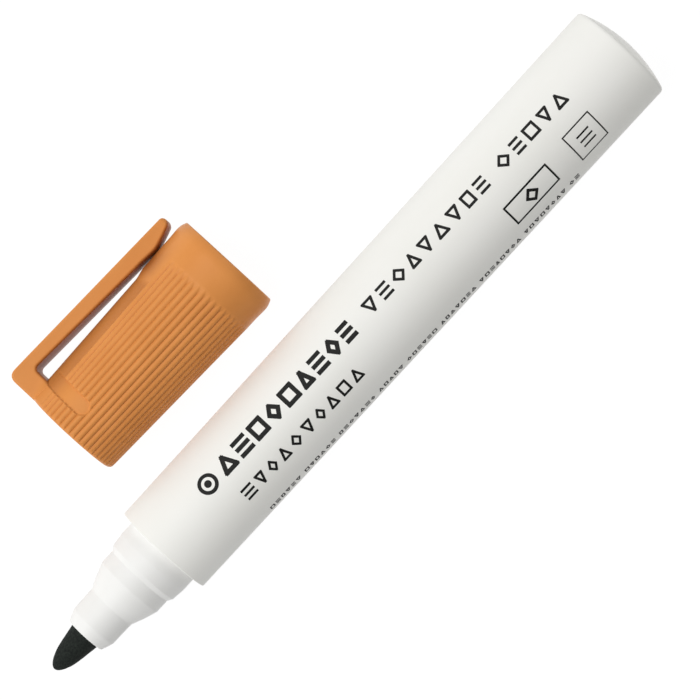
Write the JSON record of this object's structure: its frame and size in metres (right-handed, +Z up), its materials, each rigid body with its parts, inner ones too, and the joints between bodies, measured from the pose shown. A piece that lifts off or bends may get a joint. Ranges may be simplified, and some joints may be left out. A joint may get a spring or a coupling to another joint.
{
  "type": "whiteboard marker",
  "caption": "Round bullet-tip whiteboard marker with its ribbed clip cap off and lying beside the barrel.",
  "frame": {"origin": "on the marker's axis, in the front face of the barrel where the nose collar starts", "axes": "+X along the marker's axis towards the nib, +Z up as the marker lies on its side, and the cap lies on the -Y side"},
  "size_m": [0.1311, 0.0445, 0.0185],
  "materials": {
    "barrel_plastic": "satin warm white polypropylene",
    "section_plastic": "smooth white polypropylene",
    "nib_felt": "ink-soaked acrylic felt",
    "fibre_core": "ink-soaked polyester fibre",
    "clear_film": "thin clear film",
    "cap_plastic": "satin orange polypropylene",
    "liner_plastic": "natural polyethylene",
    "print_ink": "screen-printed black ink"
  },
  "bodies": {
    "barrel": {"barrel": "barrel_plastic", "front_section": "section_plastic", "nib": "nib_felt", "ink_reservoir": "fibre_core", "reservoir_film": "clear_film"},
    "cap": {"cap_shell": "cap_plastic", "cap_liner": "liner_plastic"},
    "clip": {"cap_clip": "cap_plastic"}
  },
  "joints": [
    {"name": "cap_slide", "type": "slide", "parent": "barrel", "child": "cap", "axis": [1, 0, 0], "range_m": [0, 0.03969]},
    {"name": "clip_flex", "type": "hinge", "parent": "cap", "child": "clip", "pos_m": [-0.00821, -0.03532, -0.00087], "axis": [0, -0.1045, 0.9945], "range_deg": [0, 4], "stiffness_Nm_per_rad": 0.6}
  ]
}
